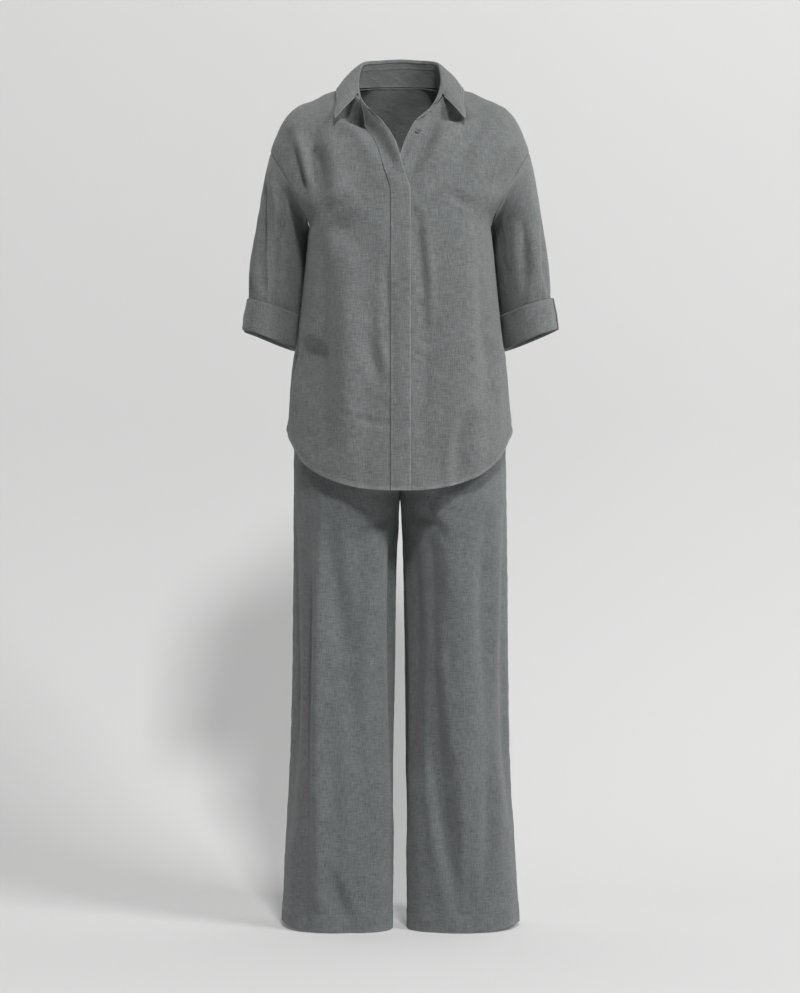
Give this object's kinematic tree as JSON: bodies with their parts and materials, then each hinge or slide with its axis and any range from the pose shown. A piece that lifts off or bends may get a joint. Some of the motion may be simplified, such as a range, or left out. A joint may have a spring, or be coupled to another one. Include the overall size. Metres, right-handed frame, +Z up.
{
  "type": "shirt and trousers set",
  "caption": "Loose linen shirt with a collar, concealed fly and rolled half sleeves, over wide straight trousers, held in their worn shape with no wearer.",
  "frame": {"origin": "middle of the neck base, between the shoulders, where a wearer carries the shirt", "axes": "+Z up, -Y the way the front faces, +X towards the wearer's left"},
  "size_m": [0.5434, 0.2992, 1.498],
  "materials": {
    "shirt_linen": "washed plain-weave linen, grey-green",
    "trouser_linen": "washed plain-weave linen, grey-green",
    "button": "smooth dark shell-look resin"
  },
  "bodies": {
    "root": {"shirt_front_left": "shirt_linen", "shirt_front_right": "shirt_linen", "shirt_button_stand": "shirt_linen", "shirt_fly_placket": "shirt_linen", "shirt_back": "shirt_linen", "shirt_collar_stand": "shirt_linen", "shirt_collar_leaf": "shirt_linen", "shirt_sleeve_left": "shirt_linen", "shirt_sleeve_right": "shirt_linen", "shirt_turn_up_left": "shirt_linen", "shirt_turn_up_right": "shirt_linen", "shirt_open_button": "button", "shirt_fly_button_1": "button", "shirt_fly_button_2": "button", "shirt_fly_button_3": "button", "shirt_fly_button_4": "button", "shirt_fly_button_5": "button", "shirt_fly_button_6": "button", "trouser_front_left": "trouser_linen", "trouser_front_right": "trouser_linen", "trouser_back_left": "trouser_linen", "trouser_back_right": "trouser_linen", "trouser_waistband": "trouser_linen"}
  },
  "joints": []
}
